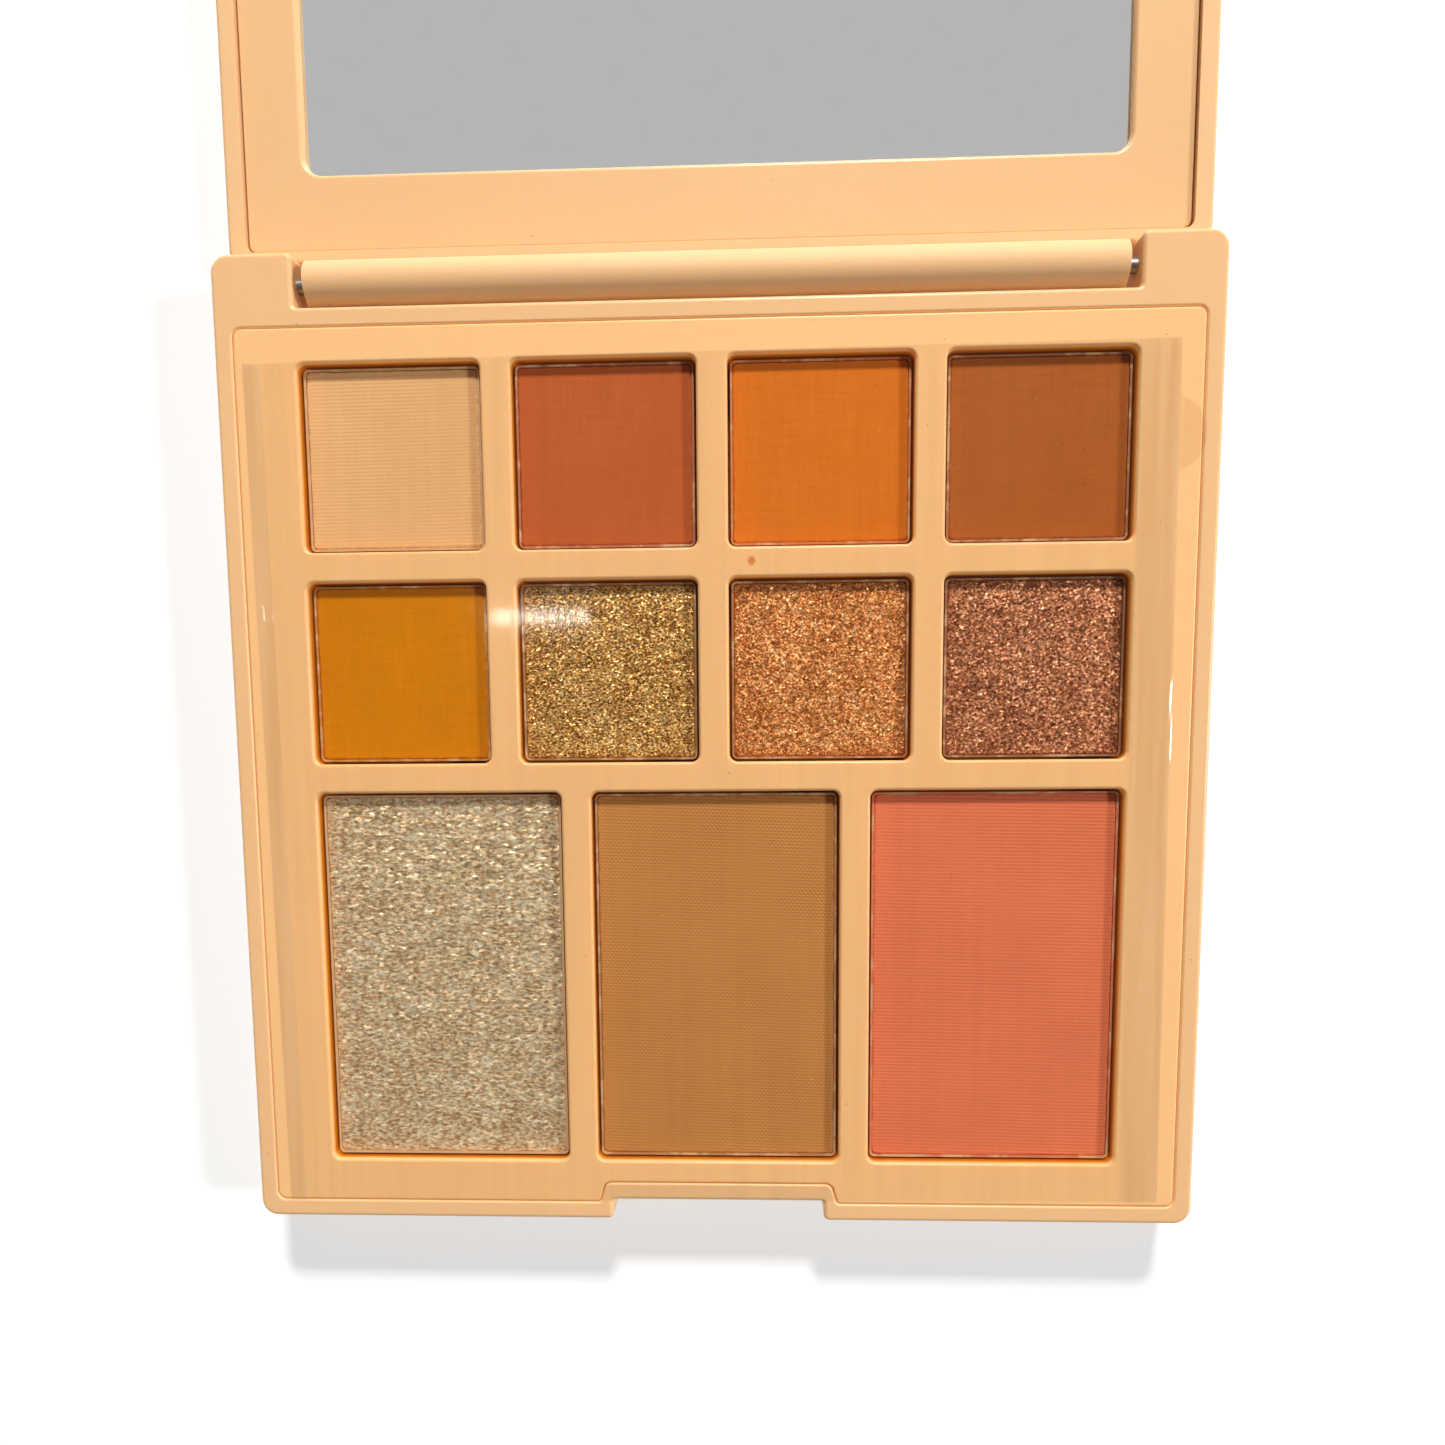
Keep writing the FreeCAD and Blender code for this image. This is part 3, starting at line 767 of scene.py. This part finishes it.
def film_shell(build, x, y, height, middle, hem=0.0):
    """Adds one closed layer of film to a bmesh, marked as hem or sheet."""
    mark = build.verts.layers.float["hem"]
    cosine, sine = math.cos(FILM_TURN), math.sin(FILM_TURN)
    layers = []
    for offset in (0.0, FILM_THICKNESS):
        rows = []
        for i in range(x.shape[0]):
            rows.append([build.verts.new((
                middle.x + x[i, j] * cosine - y[i, j] * sine,
                middle.y + x[i, j] * sine + y[i, j] * cosine,
                middle.z + height[i, j] + offset,
            )) for j in range(x.shape[1])])
        layers.append(rows)
    for vertex in (vertex for rows in layers for line in rows for vertex in line):
        vertex[mark] = hem
    lower, upper = layers
    last_i, last_j = x.shape[0] - 1, x.shape[1] - 1
    for i in range(last_i):
        near_low, near_up, far_low, far_up = lower[i], upper[i], lower[i + 1], upper[i + 1]
        for j in range(last_j):
            build.faces.new((near_up[j], far_up[j], far_up[j + 1], near_up[j + 1]))
            build.faces.new((near_low[j], near_low[j + 1], far_low[j + 1], far_low[j]))
        build.faces.new((near_low[0], far_low[0], far_up[0], near_up[0]))
        build.faces.new((far_low[last_j], near_low[last_j], near_up[last_j], far_up[last_j]))
    first_low, first_up, end_low, end_up = lower[0], upper[0], lower[last_i], upper[last_i]
    for j in range(last_j):
        build.faces.new((first_low[j + 1], first_low[j], first_up[j], first_up[j + 1]))
        build.faces.new((end_low[j], end_low[j + 1], end_up[j + 1], end_up[j]))


def make_film():
    """Loose film with a pull tab and a folded hem down each side."""
    middle, high = film_rest()
    half_width = FILM_WIDTH / 2
    half_depth = FILM_DEPTH / 2
    tab = TAB_PLACE - middle.y
    coarse = np.linspace(-half_depth, half_depth, 110)
    fine = np.linspace(tab - TAB_RADIUS, tab + TAB_RADIUS, 31)
    rows = np.unique(np.concatenate([coarse[np.abs(coarse - tab) > TAB_RADIUS], fine]))
    tab_centre = high.x - middle.x - TAB_RADIUS
    chord = np.sqrt(np.maximum(0, TAB_RADIUS ** 2 - (rows - tab) ** 2))
    right = np.maximum(half_width, tab_centre + chord)
    left = np.full_like(rows, -half_width)
    build = bmesh.new()
    build.verts.layers.float.new("hem")
    film_shell(build, *film_layer(left, right, rows), middle)
    above = FILM_THICKNESS + LAYER_GAP
    for side, width in HEMS:
        start = half_width - width if side > 0 else -half_width
        near = np.full_like(coarse, start)
        layer = film_layer(near, near + width, coarse, side, above, HEM_STEP)
        film_shell(build, *layer, middle, 1.0)
    mesh = bpy.data.meshes.new("film_sheet")
    bmesh.ops.recalc_face_normals(build, faces=build.faces)
    build.to_mesh(mesh)
    build.free()
    film = bpy.data.objects.new("film_sheet", mesh)
    bpy.context.collection.objects.link(film)
    mesh.materials.append(clear_film("clear_film"))
    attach(film, "cover")
    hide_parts("clear_cover")


# ---------------------------------------------------------------- finishes of the CAD nodes

def finish_frame_nodes():
    """Procedural finishes for the pieces whose shape comes from the CAD."""
    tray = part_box("pan_tray")
    finishes = {
        "base_shell": casing_plastic("casing_base", tray=tray),
        "pan_tray": casing_plastic("casing_tray", TRAY_PEACH, tray, windows=True),
        "lid_shell": casing_plastic("casing_lid", satin=0.25),
        "lid_frame": casing_plastic("casing_lid_frame"),
        "mirror": mirror_glass("mirror_glass"),
        "mirror_tape": foam_tape("foam_tape"),
        "pan_adhesive": glue("glue"),
    }
    pin = steel("pin_steel")
    finishes["hinge_pin_left"] = pin
    finishes["hinge_pin_right"] = pin
    for shade in SHADES:
        finishes["pan_" + shade] = tinplate("tinplate_" + shade, powder_tint(shade))
    for node, material in finishes.items():
        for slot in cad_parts[node].material_slots:
            slot.material = material


# ---------------------------------------------------------------- camera, floor and light

CAMERA_PLACE = (5.2 * MM, -52.0 * MM, 122.9 * MM)
CAMERA_TURN = (-5.78, 2.14, -0.44)
CAMERA_LENS = 24.9
CAMERA_SHIFT = 0.088
SENSOR_WIDTH = 36.0


def make_camera():
    """Looks down on the base from close by, as a phone held over it."""
    data = bpy.data.cameras.new("camera")
    data.lens = CAMERA_LENS
    data.sensor_width = SENSOR_WIDTH
    data.shift_y = CAMERA_SHIFT
    data.clip_start = 0.005
    data.clip_end = 20.0
    camera = bpy.data.objects.new("camera", data)
    camera.location = CAMERA_PLACE
    camera.rotation_euler = [math.radians(angle) for angle in CAMERA_TURN]
    bpy.context.collection.objects.link(camera)
    bpy.context.scene.camera = camera


def area_light(name, place, target, width, height, power, colour):
    """Rectangular light that faces a target."""
    data = bpy.data.lights.new(name, "AREA")
    data.shape = "RECTANGLE"
    data.size = width
    data.size_y = height
    data.energy = power
    data.color = colour
    light = bpy.data.objects.new(name, data)
    light.location = place
    direction = Vector(target) - Vector(place)
    light.rotation_mode = "QUATERNION"
    light.rotation_quaternion = direction.to_track_quat("-Z", "Y")
    bpy.context.collection.objects.link(light)


# How bright the dome is low down and overhead, and how it looks in the mirror and to the camera.
DOME_LOW = 0.7
DOME_OVERHEAD = 0.09
MIRRORED_DOME = 0.5
BACKDROP = 1.0
FLOOR_RADIUS = 4.0
BASE_MIDDLE = (0, -0.055, 0)
UNDER_LAMP = (-0.152, -0.055, 0)
# Name, place, target, width, height, power and colour. The lamp shows only as a gleam on the film.
LIGHTS = (
    ("key", (0.15, 1.55, 1.12), BASE_MIDDLE, 0.26, 0.2, 45, (1.0, 0.985, 0.96)),
    ("side", (1.7, 0.0, 1.15), BASE_MIDDLE, 0.22, 0.22, 24, (0.99, 0.99, 1.0)),
    ("ceiling_lamp", (-0.152, 0.043, 0.62), UNDER_LAMP, 0.07, 0.009, 0.075, (1.0, 0.94, 0.82)),
)


def make_dome():
    """Soft dome, bright low down all round and dimmer overhead, against a pale backdrop."""
    world = bpy.data.worlds.new("studio")
    bpy.context.scene.world = world
    world.use_nodes = True
    tree = world.node_tree
    direction = tree.nodes.new("ShaderNodeTexCoord").outputs["Generated"]
    split = tree.nodes.new("ShaderNodeSeparateXYZ")
    tree.links.new(direction, split.inputs["Vector"])
    rise = tree.nodes.new("ShaderNodeMapRange")
    rise.interpolation_type = "SMOOTHSTEP"
    tree.links.new(split.outputs["Z"], rise.inputs["Value"])
    rise.inputs["From Min"].default_value = 0.1
    rise.inputs["From Max"].default_value = 0.45
    rise.inputs["To Min"].default_value = DOME_LOW
    rise.inputs["To Max"].default_value = DOME_OVERHEAD
    path = tree.nodes.new("ShaderNodeLightPath")
    strength = rise.outputs["Result"]
    for ray, brightness in (("Is Singular Ray", MIRRORED_DOME), ("Is Camera Ray", BACKDROP)):
        mix = tree.nodes.new("ShaderNodeMix")
        tree.links.new(path.outputs[ray], mix.inputs["Factor"])
        tree.links.new(strength, mix.inputs["A"])
        mix.inputs["B"].default_value = brightness
        strength = mix.outputs["Result"]
    background = tree.nodes["Background"]
    background.inputs["Color"].default_value = (1.0, 0.99, 0.98, 1)
    tree.links.new(strength, background.inputs["Strength"])


def make_studio():
    """Pale floor, a soft dome, soft lights from behind the hinge and the right, and a lamp."""
    bpy.ops.mesh.primitive_circle_add(vertices=96, radius=FLOOR_RADIUS, fill_type="NGON")
    floor = bpy.context.object
    floor.name = "studio_floor"
    floor.data.materials.append(floor_paint("studio_floor"))
    make_dome()
    for values in LIGHTS:
        area_light(*values)


scene = bpy.context.scene
scene.view_settings.view_transform = "Standard"
scene.view_settings.look = "None"
make_camera()
make_studio()
make_powders()
make_film()
finish_frame_nodes()
